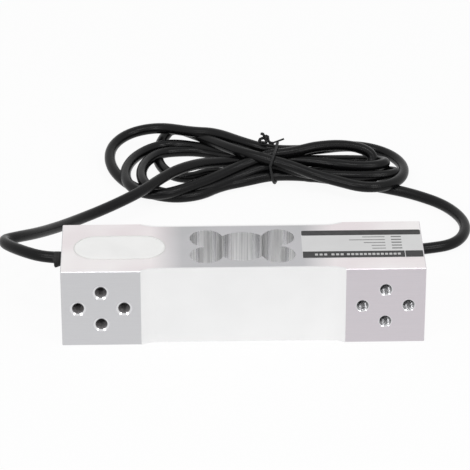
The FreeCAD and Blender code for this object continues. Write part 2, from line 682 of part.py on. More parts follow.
# --- potting ------------------------------------------------------------------------------
potting = new_body("pocket_potting_block")
fill = sketch_on(potting, "potting_outline", "XY_Plane", "Sheet.beam_width")
obround(fill, size["pocket_length"], size["pocket_width"], POCKET_X)
pad(potting, fill, "potting_fill", "Sheet.pocket_depth", reverse=True)
held = [item.Shape for item in inside] + [lead_tube]
potting_shape = potting.Shape
for piece in held:
    potting_shape = potting_shape.cut(piece)
shape_node("pocket_potting", potting_shape)

# --- label -----------------------------------------------------------------------------------
label = new_body("rating_label")
LABEL_X = HALF_LENGTH - size["label_inset"] - size["label_length"] / 2
foil = sketch_on(label, "label_outline", "XY_Plane", "Sheet.beam_width")
rectangle(
    foil, size["label_length"], size["label_width"], "Sheet.label_length", "Sheet.label_width",
    LABEL_X, size["label_shift"],
    "Sheet.beam_length / 2 - Sheet.label_inset - Sheet.label_length / 2", "Sheet.label_shift",
)
foil_pad = pad(label, foil, "label_foil", "Sheet.label_thickness")
upright = [
    f"Edge{number + 1}" for number, edge in enumerate(foil_pad.Shape.Edges)
    if abs(edge.tangentAt(edge.FirstParameter).z) > 0.99
]
rounded = label.newObject("PartDesign::Fillet", "label_corners")
rounded.Base = (foil_pad, upright)
rounded.setExpression("Radius", "Sheet.label_corner")
document.recompute()

# --- the cable's free end -----------------------------------------------------------------
tail_end = Vector(*TAIL_ROUTE[-1])
tail_heading = (tail_end - Vector(*TAIL_ROUTE[-2])).normalize()
tail_side = Vector(-tail_heading.y, tail_heading.x, 0)
for colour, side, z_side, place in CORES:
    start = tail_end + tail_side * (side * corner) + Vector(0, 0, z_side * corner)
    floor_z = size["core_diameter"] / 2
    ahead = tail_end + tail_heading * (15 - 3.5 * abs(place)) + tail_side * (place * size["core_fan"] * 0.5)
    tip = tail_end + tail_heading * (size["bare_length"] - abs(place)) + tail_side * (place * size["core_fan"])
    route = [
        tuple(start),
        tuple(start + tail_heading * 4),
        (ahead.x, ahead.y, floor_z + 0.1),
        (tip.x, tip.y, floor_z),
    ]
    shape_node(f"core_{colour}_end", tube(route, size["core_diameter"], f"core_{colour}_end"))
drain_tip = tail_end + tail_heading * size["bare_length"]
drain_mid = tail_end + tail_heading * 10
drain_route = [
    tuple(tail_end),
    tuple(tail_end + tail_heading * 4.4),
    (drain_mid.x, drain_mid.y, size["drain_diameter"] / 2 + 0.1),
    (drain_tip.x, drain_tip.y, size["drain_diameter"] / 2),
]
shape_node("drain_wire_end", tube(drain_route, size["drain_diameter"], "drain_wire_end"))

# --- check and write -------------------------------------------------------------------------
document.recompute()
for item in document.Objects:
    assert "Invalid" not in item.State and "Error" not in item.State, f"{item.Label} failed"

EXTRA = {"pocket_potting_block"}
os.makedirs("parts", exist_ok=True)
nodes = [
    item for item in document.Objects
    if item.TypeId in ("PartDesign::Body", "Part::Feature", "Part::Box") and item.Label not in EXTRA
]
for node in nodes:
    assert not node.Shape.isNull() and node.Shape.isValid(), f"{node.Label} has a bad shape"
for node in nodes:
    node.Shape.exportStep(f"parts/{node.Label}.step")
    print(f"{node.Label:34s} {node.Shape.Volume:12.2f} mm3  {len(node.Shape.Solids)} solid(s)")
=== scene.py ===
# %% [markdown]
# # A single point load cell
# The part is a milled aluminium beam with a window cut through its middle. Strain gauges
# lie under white silicone covers on the two loaded faces, their bridge is potted in an
# oblong pocket, and a black cable leaves one end and is tied up in a hank. The CAD model
# gives every solid its place, so this lesson only adds what CAD leaves plain: the cable's
# true line, threads, sleeve, tie, print, and the finishes.

# %% Load the CAD frame
import math

import bmesh
import bpy
import numpy as np
from mathutils import Matrix


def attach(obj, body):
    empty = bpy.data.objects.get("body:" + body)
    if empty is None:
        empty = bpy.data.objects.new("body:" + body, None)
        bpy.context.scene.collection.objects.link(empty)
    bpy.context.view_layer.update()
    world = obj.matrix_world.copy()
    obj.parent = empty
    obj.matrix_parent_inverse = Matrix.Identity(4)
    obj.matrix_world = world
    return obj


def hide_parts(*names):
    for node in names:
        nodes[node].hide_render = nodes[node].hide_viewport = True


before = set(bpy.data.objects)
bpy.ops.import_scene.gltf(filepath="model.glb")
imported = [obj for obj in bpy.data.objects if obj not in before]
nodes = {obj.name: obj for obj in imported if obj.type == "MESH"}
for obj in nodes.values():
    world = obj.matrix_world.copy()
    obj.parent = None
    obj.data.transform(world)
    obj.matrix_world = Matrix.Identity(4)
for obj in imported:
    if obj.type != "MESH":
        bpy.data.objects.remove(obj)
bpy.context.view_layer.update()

MM = 0.001

# %% [markdown]
# ## The camera
# The beam is seen from its front, a little from the left, and from about 29 degrees above
# the table. A long lens from more than a metre away keeps the beam's edges nearly
# parallel, which is how small products are usually shown.

# %% Place the camera
AZIMUTH, ELEVATION, ROLL = math.radians(1.195), math.radians(29.27), math.radians(-0.0603)
CAMERA_PLACE = (-0.0262532, -1.1125687, 0.6640961)
lens = bpy.data.cameras.new("studio_camera")
lens.sensor_width = 36
lens.lens = 236.15
camera = bpy.data.objects.new("studio_camera", lens)
bpy.context.scene.collection.objects.link(camera)
camera.matrix_world = (
    Matrix.Translation(CAMERA_PLACE)
    @ Matrix.Rotation(-AZIMUTH, 4, "Z")
    @ Matrix.Rotation(math.pi / 2 - ELEVATION, 4, "X")
    @ Matrix.Rotation(ROLL, 4, "Z")
)
bpy.context.scene.camera = camera
print(f"camera: {lens.lens} mm lens, {math.degrees(ELEVATION):.1f} degrees above the table")

# %% [markdown]
# ## The cable
# A load cell's cable is a round PVC jacket of 4.8 mm over four cores and a screen. It is
# shipped folded into a flat hank: here four turns to the right and four to the left of one
# wire tie, each of another size because they were wound by hand. Its line is one smooth
# NURBS curve. The lead out of the beam and the tail are points given one by one. Each turn of
# the hank is worked out: an oval arc at its far side, and two easing points on the way to
# and from its place in the tied waist. The ovals' sizes and leans were fitted to a real
# hand-wound hank, and some of its folds are sharper than a cable of this width likes.

# %% Choose the points of the lead and the tail
JACKET = 4.8 * MM
# the bevel is a polygon, so its radius is 2 % over the jacket's to keep the full width
BEVEL = 1.02 * JACKET / 2
END_FACE = -75
CABLE_LEVEL = 30.2
LEAD = [
    (END_FACE + 8, 0, CABLE_LEVEL), (END_FACE - 5.5, 0, CABLE_LEVEL), (END_FACE - 18.5, 9, 29.4),
    (END_FACE - 26.8, 21.5, 26.8), (END_FACE - 19, 30, 24), (-87, 40.2, 19.8), (-78.5, 55.8, 14),
    (-69, 70.2, 10.1), (-56.5, 82.2, 9.3), (-43, 92.4, 11), (-31, 107, 12), (-23, 113, 12.5),
    (-14.5, 119.5, 11), (-4, 125.2, 8.2), (5, 128, 7.4),
]
TAIL = [
    (23, 119.8, 4), (33, 121.6, 2.4), (44, 118.3, 2.4), (56, 113.6, 2.4), (66, 109.8, 2.4), (79, 103.8, 2.4),
    (94, 92, 2.4), (101.5, 74, 2.4), (95.5, 57.5, 2.4), (79.5, 53, 2.4), (62.5, 51.5, 2.4), (46, 54.5, 2.4),
]
print(f"{len(LEAD)} lead points and {len(TAIL)} tail points")

# %% Work out the turns of the hank
WAIST = 14.6
# y and z of the strands at the tie, packed like oranges a diameter apart: each turn starts
# at one and ends at the next
SLOTS = [
    (127.1, 8), (131.9, 8), (124.7, 12.1), (129.5, 3.8), (122.3, 8), (124.7, 3.8), (119.9, 12.1),
    (129.5, 12.1), (117.6, 4.9),
]
# side, centre, radii, lean, sweep in degrees, heights along the turn, power of each easing
TURNS = [
    (1, (50.1, 126.1), (18.2, 8.2), -0.14, (-111, 114),
     (8.5, 10, 9.5, 9, 8.5, 7, 4.5, 3.5, 3.5, 5), (0.4, 1.3)),
    (-1, (-31.8, 124.5), (19, 25), 0.21, (98, -115),
     (6.5, 5.2, 4.8, 4.8, 5, 5.2, 5.8, 6.4, 7.5), (0.8, 0.6)),
    (1, (43.1, 124.8), (19.9, 4.4), 0.1, (109.5, -111),
     (12.4, 14, 14.4, 12.5, 8, 4.5, 2.8, 2.4, 2.4), (0, 1)),
    (-1, (-30.3, 122.3), (13, 20.4), 0.26, (97.5, -110),
     (4, 4.8, 5.5, 6, 6, 4, 3), (1.7, 1)),
    (1, (52.9, 119.6), (20.2, 6.1), -0.03, (-114, 108),
     (6, 6.5, 6.5, 6, 5, 4, 2.4, 2.4, 2.4), (1, 1)),
    (-1, (-21.7, 144.5), (14.3, 23.6), 0.07, (-124.4, 61.4),
     (2.4, 2.4, 2.4, 2.4, 2.4, 2.4, 2.6, 4.2, 8.6, 12.8), (1, 0.5)),
    (1, (57.4, 123.3), (19.5, 21.6), -0.05, (-126.5, 112),
     (10, 8, 7, 6, 5, 4.5, 5, 6.8, 9.8), (0.9, 0.3)),
    (-1, (-33.4, 129.8), (25.3, 27.2), -0.31, (122.6, -129.6),
     (13.1, 12.6, 11, 8.3, 6, 4, 2.6, 2.4, 2.4, 2.4), (1.2, -0.7)),
]


def hank_turn(start, end, side, centre, radii, lean, sweep, heights, powers):
    """Twelve points of one turn of the hank.

    The far side is eight points of an ellipse about the centre: out is the x radius times
    the cosine, and y the centre plus the y radius times the sine plus lean times out. On
    each way to the waist two points lie a third and two thirds along, and their y eases
    by t squared times a power of (3 - 2 t). The heights are spread evenly along the turn.
    """
    angle = np.radians(np.linspace(*sweep, 8))
    out = side * radii[0] * np.cos(angle)
    far = np.stack([centre[0] + out, centre[1] + radii[1] * np.sin(angle) + lean * out], 1)
    t = np.array([0.33, 0.68])

    def ease(slot, far_point, power):
        k = t * t * (3 - 2 * t) ** power
        return np.stack([WAIST + (far_point[0] - WAIST) * t, slot[0] + (far_point[1] - slot[0]) * k], 1)

    plan = np.vstack([ease(start, far[0], powers[0]), far, ease(end, far[-1], powers[1])[::-1]])
    levels = [start[1], *heights, end[1]]
    z = np.interp(np.linspace(0, 1, len(plan) + 2)[1:-1], np.linspace(0, 1, len(levels)), levels)
    return np.column_stack([plan, z])


route = [np.array(LEAD, float)]
for slot, next_slot, turn in zip(SLOTS, SLOTS[1:], TURNS):
    route += [np.array([[WAIST, *slot]]), hank_turn(slot, next_slot, *turn)]
route += [np.array([[WAIST, *SLOTS[-1]]]), np.array(TAIL, float)]
route = np.vstack(route) * MM
# nothing goes lower than the table lets the jacket lie
route[:, 2] = np.maximum(route[:, 2], BEVEL)
print(f"{len(TURNS)} turns, {len(route)} points in all")

# %% [markdown]
# ## Small helpers for surfaces
# Every new piece below is a grid of points worked out as whole arrays. One helper turns
# grids into a closed mesh, and one carries a round section along a line.


# %% Turn grids of points into a mesh
def piece(name, grids, material=None, sharp=35):
    """Make one object from closed grids of points.

    A grid is an array of rows, columns and xyz. Its columns run round and close on
    themselves. Its first and last rows are poles or rims drawn to one point or line, so
    that merging equal points closes the ends.
    """
    corners, quads, count = [], [], 0
    for grid in grids:
        rows, columns = grid.shape[:2]
        index = np.arange(rows * columns).reshape(rows, columns) + count
        beside = np.roll(index, -1, 1)
        quads.append(np.stack([index[:-1], beside[:-1], beside[1:], index[1:]], -1).reshape(-1, 4))
        corners.append(grid.reshape(-1, 3))
        count += rows * columns
    mesh = bpy.data.meshes.new(name)
    mesh.from_pydata(np.vstack(corners).tolist(), [], np.vstack(quads).tolist())
    work = bmesh.new()
    work.from_mesh(mesh)
    bmesh.ops.remove_doubles(work, verts=work.verts, dist=1e-6)
    bmesh.ops.dissolve_degenerate(work, edges=work.edges, dist=1e-7)
    bmesh.ops.recalc_face_normals(work, faces=work.faces)
    work.to_mesh(mesh)
    work.free()
    mesh.polygons.foreach_set("use_smooth", [True] * len(mesh.polygons))
    mesh.set_sharp_from_angle(angle=math.radians(sharp))
    made = bpy.data.objects.new(name, mesh)
    bpy.context.scene.collection.objects.link(made)
    if material:
        mesh.materials.append(material)
    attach(made, "root")
    print(f"{name}: {len(mesh.polygons)} faces")
    return made


def unit(vectors):
    """Each vector divided by its own length."""
    return vectors / np.linalg.norm(vectors, axis=-1, keepdims=True)


def tube(path, radius, sides=16, up=(0, 0, 1), closed=False):
    """A round section along a path: point = path + radius (cos a * side + sin a * over).

    side is up crossed with the path's direction, over is direction crossed with side, and
    the radius is one number or one for each point of the path. Ends are drawn to a pole.
    """
    ahead = unit(np.roll(path, -1, 0) - np.roll(path, 1, 0)) if closed else unit(np.gradient(path, axis=0))
    side = unit(np.cross(np.array(up, float), ahead))
    over = np.cross(ahead, side)
    angle = np.linspace(0, 2 * np.pi, sides, endpoint=False)[None, :, None]
    reach = np.broadcast_to(np.asarray(radius, float), (len(path),))[:, None, None]
    grid = path[:, None] + reach * (np.cos(angle) * side[:, None] + np.sin(angle) * over[:, None])
    if closed:
        return np.concatenate([grid, grid[:1]])
    poles = np.repeat(path[[0, -1], None], sides, 1)
    return np.concatenate([poles[:1], grid, poles[1:]])


def smooth_line(points, rounds=4):
    """Cut each corner at a quarter and three quarters of its runs, again and again.

    The result nears the quadratic B-spline of the points and keeps both ends.
    """
    line = np.array(points, float)
    for _ in range(rounds):
        cut = np.stack([0.75 * line[:-1] + 0.25 * line[1:], 0.25 * line[:-1] + 0.75 * line[1:]], 1)
        line = np.vstack([line[:1], cut.reshape(-1, 3)[1:-1], line[-1:]])
    return line


print("surface helpers are ready")

# %% [markdown]
# ## Helpers for finishes
# A finish is a Principled shader with typical values for the real material, and a few
# texture nodes that break it up at a real size. One function turns a hex colour to the
# linear numbers that the shader works in, and one adds any node with its settings.


# %% Make finishes from hex colours and nodes
def linear(code):
    """A six-digit sRGB hex colour as linear red, green, blue and alpha."""
    srgb = np.array([int(code[i:i + 2], 16) for i in (0, 2, 4)]) / 255
    return (*np.where(srgb <= 0.04045, srgb / 12.92, ((srgb + 0.055) / 1.055) ** 2.4).tolist(), 1)


def add(tree, kind, inputs=None, **settings):
    """Add one node. settings are its properties; inputs are values or the sockets that feed it."""
    node = tree.nodes.new("ShaderNode" + kind)
    for name, value in settings.items():
        setattr(node, name, value)
    for name, value in (inputs or {}).items():
        if isinstance(value, bpy.types.NodeSocket):
            tree.links.new(value, node.inputs[name])
        else:
            node.inputs[name].default_value = value
    return node


def finish(name, code, roughness, **sockets):
    """A material with one Principled shader; sockets are its other inputs, _ for a blank."""
    material = bpy.data.materials.new(name)
    material.use_nodes = True
    shader = material.node_tree.nodes["Principled BSDF"]
    shader.inputs["Base Color"].default_value = linear(code)
    shader.inputs["Roughness"].default_value = roughness
    for socket, value in sockets.items():
        shader.inputs[socket.replace("_", " ")].default_value = value
    return material, material.node_tree, shader


def grain(tree, size_mm, stretch=(1, 1, 1), detail=3, where=None):
    """Noise whose blotches are size_mm across, on Object coordinates, stretched by the factors."""
    where = where or add(tree, "TexCoord").outputs["Object"]
    scale = tuple(1 / (size_mm * MM * factor) for factor in stretch)
    placed = add(tree, "Mapping", {"Vector": where, "Scale": scale})
    return add(tree, "TexNoise", {"Vector": placed.outputs[0], "Scale": 1.0, "Detail": detail}).outputs["Fac"]


def vary(tree, source, low, high, start=0.3, stop=0.7):
    """A number that goes from low to high as the source goes from start to stop."""
    limits = {"From Min": start, "From Max": stop, "To Min": low, "To Max": high}
    return add(tree, "MapRange", {"Value": source, **limits}).outputs[0]


def reckon(tree, operation, *values):
    """The result of one math operation on its values, in their order."""
    return add(tree, "Math", dict(enumerate(values)), operation=operation).outputs[0]


def blend(tree, factor, first, second):
    """A colour between two, which are hex codes or sockets, by a factor.

    A Mix node keeps its colour sockets sixth and seventh, and its colour result second.
    """
    first, second = (linear(c) if isinstance(c, str) else c for c in (first, second))
    return add(tree, "Mix", {0: factor, 6: first, 7: second}, data_type="RGBA").outputs[2]


def relief(tree, shader, height, depth_mm, strength=1.0):
    """Let a height pattern shade the surface as bumps of a depth in millimetres."""
    bump = add(tree, "Bump", {"Height": height, "Distance": depth_mm * MM, "Strength": strength})
    tree.links.new(bump.outputs[0], shader.inputs["Normal"])


def feed(tree, shader, socket, source):
    """Link a source to one of the shader's inputs."""
    tree.links.new(source, shader.inputs[socket])


print("finish helpers are ready")

# %% [markdown]
# ## The cable's jacket
# Extruded PVC is nearly black and satin, with soft long highlights and a faint unevenness
# from the cores under it. Its IOR is about 1.53. The jacket is a curve with a round bevel,
# so that its length and its bends stay easy to measure.

# %% Make the jacket
# a slow change of gloss breaks the long highlights up, as on a handled cable
pvc_black, tree, shader = finish("extruded_black_pvc", "09090A", 0.28, IOR=1.53, Specular_IOR_Level=0.16)
feed(tree, shader, "Roughness", vary(tree, grain(tree, 9), 0.24, 0.32))
feed(tree, shader, "Base Color", blend(tree, vary(tree, grain(tree, 14), 0, 1), "070708", "0C0C0D"))
# the lay of the cores shows through as a soft waviness about 3 mm long; a hair of depth is enough
relief(tree, shader, grain(tree, 3.2, detail=1), 0.05, 0.5)

jacket_curve = bpy.data.curves.new("cable_jacket", "CURVE")
jacket_curve.dimensions = "3D"
spline = jacket_curve.splines.new("NURBS")
spline.points.add(len(route) - 1)
spline.points.foreach_set("co", np.column_stack([route, np.ones(len(route))]).ravel())
spline.order_u = 3
spline.use_endpoint_u = True
spline.resolution_u = 8
jacket_curve.bevel_depth = BEVEL
jacket_curve.bevel_resolution = 8
jacket_curve.use_fill_caps = True
jacket_curve.materials.append(pvc_black)
cable = bpy.data.objects.new("cable_jacket", jacket_curve)
bpy.context.scene.collection.objects.link(cable)
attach(cable, "root")
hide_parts("cable_hank", "cable_lead", "cable_tail")


def centreline(curve_object):
    """The curve's own line as an array of points, read from a copy that has no bevel."""
    bare = curve_object.data.copy()
    bare.bevel_depth = 0
    probe = bpy.data.objects.new("probe", bare)
    mesh = bpy.data.meshes.new_from_object(probe)
    line = np.empty(3 * len(mesh.vertices))
    mesh.vertices.foreach_get("co", line)
    bpy.data.objects.remove(probe)
    bpy.data.curves.remove(bare)
    bpy.data.meshes.remove(mesh)
    return line.reshape(-1, 3)


cable_line = centreline(cable)
cable_length = np.linalg.norm(np.diff(cable_line, axis=0), axis=1).sum()
cable_low, cable_high = cable_line[:, 2].min() / MM, cable_line[:, 2].max() / MM
print(f"jacket: {cable_length / MM:.0f} mm long, z {cable_low:.1f} to {cable_high:.1f} mm")

# %% [markdown]
# ## The seal sleeve
# A short rubber sleeve keeps the jacket from being cut by the edge of its bore. It carries
# fine ribs at the end face, and ends in an uneven lip where it was trimmed, with a spur on
# its lower side. It is a profile carried along the cable's own line, so it bends with it.

# %% Make the sleeve
# dull and finely pitted, so that it reads as rubber beside the glossier jacket
rubber, tree, shader = finish("moulded_black_rubber", "101010", 0.5, IOR=1.52, Specular_IOR_Level=0.3)
feed(tree, shader, "Roughness", vary(tree, grain(tree, 0.8), 0.48, 0.66))
relief(tree, shader, grain(tree, 0.35), 0.02, 0.6)

SLEEVE_FROM, SLEEVE_TO = END_FACE + 3, END_FACE - 4.6
begins = int(np.argmax(cable_line[:, 0] < (SLEEVE_FROM + 0.5) * MM))
ends = int(np.argmax(cable_line[:, 0] < (SLEEVE_TO - 0.8) * MM))
stretch = cable_line[max(begins - 1, 0):ends + 2]
run = np.concatenate([[0], np.cumsum(np.linalg.norm(np.diff(stretch, axis=0), axis=1))])
fine = np.linspace(0, run[-1], 90)
axis_line = np.stack([np.interp(fine, run, stretch[:, k]) for k in range(3)], 1)


def sleeve(line, sides=56):
    """Radius by distance s from the end face, along the cable.

    Inside the counterbore it is 3.15 mm. Outside it is 2.6 mm with ribs of 0.12 mm as the
    square of a sine every 0.62 mm, and the lower side flares from 0.5 to 1.55 mm more at
    the lip, where it stands off as a spur. The lip's length waves round the sleeve, and
    over its last 0.4 mm the radius drops to just inside the jacket's.
    """
    s = (END_FACE * MM - line[:, 0])[:, None] / MM
    angle = np.linspace(0, 2 * np.pi, sides, endpoint=False)[None]
    lip = 2.7 + 0.25 * np.sin(3 * angle + 0.5) + 0.15 * np.sin(7 * angle)
    lower = np.clip(np.cos(angle - math.radians(300)), 0, 1) ** 2
    ribs = 0.12 * np.sin(np.pi * s / 0.62) ** 2 * np.clip((2.2 - s) / 0.6, 0, 1)
    outside = 2.6 + ribs + lower * (0.5 + 1.05 * np.clip(s / 2.15, 0, 1))
    outside = 2.36 + (outside - 2.36) * np.clip((lip + 0.4 - s) / 0.4, 0, 1)
    radius = np.where(s < 0, 3.15, outside)
    ahead = unit(np.gradient(line, axis=0))
    side = unit(np.cross(np.array([0.0, 0.0, 1.0]), ahead))
    over = np.cross(ahead, side)
    spin = angle[..., None]
    around = np.cos(spin) * side[:, None] + np.sin(spin) * over[:, None]
    outer = line[:, None] + radius[..., None] * MM * around
    inner = line[[0, -1], None] + 2.3 * MM * around[[0, -1]]
    return np.concatenate([inner[:1], outer, inner[1:], inner[:1]])


collar = piece("seal_sleeve", [sleeve(axis_line)], rubber)
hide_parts("cable_collar")

# %% [markdown]
# ## The twist tie
# The hank is held by a wire in a black plastic coat. Its ring is the outline of the tied
# strands, one wire radius away from them, and it leans with the hank. At the knot a
# twisted pair is curled into a small pigtail, and one wire end is left nearly straight.

# %% Make the tie
# small highlights that come and go show the ribbed plastic coat
tie_coat, tree, shader = finish("coated_tie_wire", "141415", 0.4, IOR=1.5, Specular_IOR_Level=0.3)
feed(tree, shader, "Roughness", vary(tree, grain(tree, 1.5), 0.34, 0.52))
relief(tree, shader, grain(tree, 0.5), 0.02, 0.5)
TIE_RADIUS, TIE_END_RADIUS, PAIR_APART = 0.65, 0.42, 0.3
TIE_X = WAIST + 2.6


def round_hull(centres, reach, count=160):
    """A band drawn tightly round circles, with its points spaced evenly.

    For each direction it is the farthest centre, plus reach that way.
    """
    angle = np.linspace(0, 2 * np.pi, 4000, endpoint=False)
    ways = np.stack([np.cos(angle), np.sin(angle)], 1)
    band = centres[np.argmax(ways @ centres.T, axis=1)] + reach * ways
    band = np.vstack([band, band[:1]])
    along = np.concatenate([[0], np.cumsum(np.linalg.norm(np.diff(band, axis=0), axis=1))])
    even = np.linspace(0, along[-1], count, endpoint=False)
    return np.stack([np.interp(even, along, band[:, k]) for k in range(2)], 1)


band = round_hull(np.array(SLOTS, float), JACKET / MM / 2 + TIE_RADIUS + 0.1)
band[:, 1] = np.maximum(band[:, 1], TIE_RADIUS + 0.02)
# the ring leans along the beam's direction, more on its rear and upper parts
upper = np.maximum(band[:, 1], 10.5)
lean = 0.17 * (band[:, 0] - 123) + 0.3 * (upper - 13) + 0.25 * (upper - band[:, 1])
ring = np.column_stack([TIE_X + lean, band]) * MM
knot = np.array([TIE_X - 0.4, 129, 15.7])


def twisted(axis, turns, apart, phase=0.0):
    """A line that winds round an axis: axis + apart (cos w * side + sin w * over).

    w grows evenly along the axis, by a full circle for each turn.
    """
    ahead = unit(np.gradient(axis, axis=0))
    side = unit(np.cross(np.array([0.1, 1.0, 0.2]), ahead))
    over = np.cross(ahead, side)
    w = (phase + 2 * np.pi * turns * np.linspace(0, 1, len(axis)))[:, None]
    return axis + apart * (np.cos(w) * side + np.sin(w) * over)


# both ends by their steps away from the knot
PIGTAIL = [
    (0.6, 0, -0.2), (-0.6, 0, 0.1), (-1.7, 0.2, 0.4), (-2.1, 0.6, 1.4), (-2.1, 0.9, 2.7),
    (-2.8, 1, 3.3), (-3.4, 0.7, 2.6), (-3.1, 0.1, 1.3), (-2.4, -0.4, 0.9), (-3.6, -0.7, 0.6),
    (-5.2, -0.7, 0.8), (-6.2, -0.5, 1.4), (-5.6, 0.1, 2.2), (-4.4, 0.9, 2.1), (-3.5, 1.3, 1.9),
    (-3.9, 1.2, 3.2), (-4.6, 1, 4.4), (-5.4, 0.8, 4.4),
]
FREE_END = [(-1.2, 0, -0.2), (0, 0, 0.1), (2.4, 0.2, 0.9), (5.2, 0.5, 1.9)]
pigtail_axis = smooth_line([knot + step for step in PIGTAIL]) * MM
free_axis = smooth_line([knot + step for step in FREE_END]) * MM
pair = [twisted(pigtail_axis, 9, PAIR_APART * MM, phase) for phase in (0, np.pi)]
tie_grids = [tube(ring, TIE_RADIUS * MM, 12, up=(1, 0, 0), closed=True)]
tie_grids += [tube(line, TIE_END_RADIUS * MM, 10, up=(0, 1, 0.3)) for line in [*pair, free_axis]]
tie = piece("twist_tie_wire", tie_grids, tie_coat, sharp=60)
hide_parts("twist_tie")

# %% [markdown]
# ## The free end's cores
# The far end is bare, as load cells are supplied: the jacket is cut back, and four
# coloured PVC cores and a tinned screen wire fan out on the table. Each core is stripped
# at its tip, where seven tinned strands show. They are tubes along lines smoothed from a
# few points, and the strands wind round the same lines.

# %% Make the cores and their strands
# a warm grey metal with bright and dull spots, as where solder ran thin over copper
tinned, tree, shader = finish("tinned_copper", "C9C6BE", 0.3, Metallic=1.0)
feed(tree, shader, "Roughness", vary(tree, grain(tree, 0.6), 0.2, 0.45))
relief(tree, shader, grain(tree, 0.25), 0.01, 0.5)
# thin PVC walls are evenly coloured, and glossier in small patches
core_finish = {}
for colour, code in (("red", "B4201C"), ("black", "1A1A1A"), ("white", "E6E5E0"), ("green", "1E7A3A")):
    core_finish[colour], tree, shader = finish(f"pvc_core_{colour}", code, 0.38, IOR=1.53)
    feed(tree, shader, "Roughness", vary(tree, grain(tree, 1.2), 0.3, 0.48))
    relief(tree, shader, grain(tree, 0.5), 0.01, 0.5)

def stranded(axis, turns, radius):
    """Seven strands of one radius: six wound round an axis two radii away, and one along it."""
    wound = [twisted(axis, turns, 2 * radius, k * np.pi / 3) for k in range(6)]
    return [tube(line, radius, 8) for line in [*wound, axis]]


tail_end = np.array(TAIL[-1], float)
heading = unit(tail_end - np.array(TAIL[-2], float))
beside = np.array([-heading[1], heading[0], 0.0])
upward = np.array([0.0, 0.0, 1.0])
CORE_RADIUS, RING, BARED = 0.55, 1.15 / math.sqrt(2), 5.0
CORE_PLACES = {"red": (1, 1, 1), "black": (1, -1, 2), "white": (-1, -1, -2), "green": (-1, 1, -1)}
cores, strands = [], []
for colour, (side, height, place) in CORE_PLACES.items():
    start = tail_end + beside * side * RING + upward * height * RING
    ahead = tail_end + heading * (15 - 3.5 * abs(place)) + beside * place * 1.6
    tip = tail_end + heading * (26 - abs(place)) + beside * place * 3.2
    ahead[2] = tip[2] = CORE_RADIUS
    bend = (ahead + tip) / 2 + beside * 0.4
    line = smooth_line([start - heading * 2, start, start + heading * 3.5, ahead, bend, tip])
    from_tip = np.linalg.norm(line - tip, axis=1)
    covered = line[from_tip > BARED]
    bared = line[from_tip < BARED + 1.2]
    wall = tube(covered * MM, CORE_RADIUS * MM, 18)
    core = piece(f"core_{colour}_tail", [wall], core_finish[colour])
    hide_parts(f"core_{colour}_end")
    cores.append(core)
    strands += stranded(bared * MM, 1.6, 0.135 * MM)
bare_strands = piece("bared_core_strands", strands, tinned, sharp=60)

# the drain wire drops from the jacket's middle to the table: forwards, sideways and down
DRAIN_DROP = 2.08
DRAIN_STEPS = [
    (-2, 0, 0), (3, 0, 0), (8, 0, 1.6), (12, 0, DRAIN_DROP), (19, 0.8, DRAIN_DROP), (26, 0, DRAIN_DROP),
]
drain_line = smooth_line([
    tail_end + heading * along - upward * down + beside * aside for along, aside, down in DRAIN_STEPS
])
drain_strands = stranded(drain_line * MM, 5, 0.1 * MM)
drain = piece("drain_wire_tail", drain_strands, tinned, sharp=60)
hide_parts("drain_wire_end")

# %% [markdown]
# ## The threads
# The eight M6 holes are tapped from both faces. A tap leaves a spiral ridge every
# millimetre, which CAD leaves out because it is many tiny faces. Each thread here is a thin
# sleeve in the bore: its inner wall is a spiral, and its outer wall lies inside the metal.

# %% Make the threads
# clean flanks are nearly mirrors, so they flash bright and dark as the spiral turns
freshly_cut, tree, shader = finish("tapped_aluminium", "D6D6D8", 0.16, Metallic=1.0)
feed(tree, shader, "Roughness", vary(tree, grain(tree, 0.5), 0.1, 0.24))
feed(tree, shader, "Base Color", blend(tree, vary(tree, grain(tree, 1.4), 0, 1), "7E7E80", "BCBCBE"))
# the threads of the other holes are an even, dull, darker grey
dull_grey_cut, tree, shader = finish("dull_grey_tapped_aluminium", "6C6A6B", 0.46, Metallic=1.0)
feed(tree, shader, "Roughness", vary(tree, grain(tree, 0.5), 0.5, 0.6))
feed(tree, shader, "Base Color", blend(tree, vary(tree, grain(tree, 1.1), 0, 1), "6C6A6B", "7C7A7B"))

HOLE_X, HOLE_Z, FACE_Y = 58.6, 17.5, 20.0
PITCH_ALONG, PITCH_ACROSS = 19, 15
BORE, PITCH, THREAD_DEPTH = 2.5, 1.0, 12
RIDGE, FADE_IN = 0.3, 0.3


def thread(x, z, face, mouth, columns=40):
    """A threaded sleeve on an axis along Y.

    The radius is the bore's less a ridge, a triangle wave of depth / pitch - turn whose
    flanks are 60 degrees steep and whose tip is cut flat, where turn is the angle over a
    full circle. It starts where the countersink meets the bore, and fades in from there.
    """
    top = (mouth / 2 - BORE) / math.tan(math.radians(60)) + 0.02
    depth = np.linspace(top, THREAD_DEPTH, THREAD_DEPTH * 14)[:, None]
    turn = np.linspace(0, 1, columns, endpoint=False)[None]
    from_tip = PITCH * np.abs(np.mod(depth / PITCH - turn, 1) - 0.5)
    ridge = np.clip(1.73 * (0.32 - from_tip), 0, RIDGE)
    radius = BORE - 0.01 - ridge * np.clip((depth - top) / FADE_IN, 0, 1)
    wall = np.full((1, columns), BORE + 0.05)
    radius = np.concatenate([radius, wall, wall, radius[:1]])
    depth = np.concatenate([depth, depth[-1:], depth[:1], depth[:1]])
    angle = 2 * np.pi * turn
    y = np.sign(face) * (FACE_Y - depth) + 0 * angle
    return np.stack([x + radius * np.cos(angle), y, z + radius * np.sin(angle)], -1) * MM


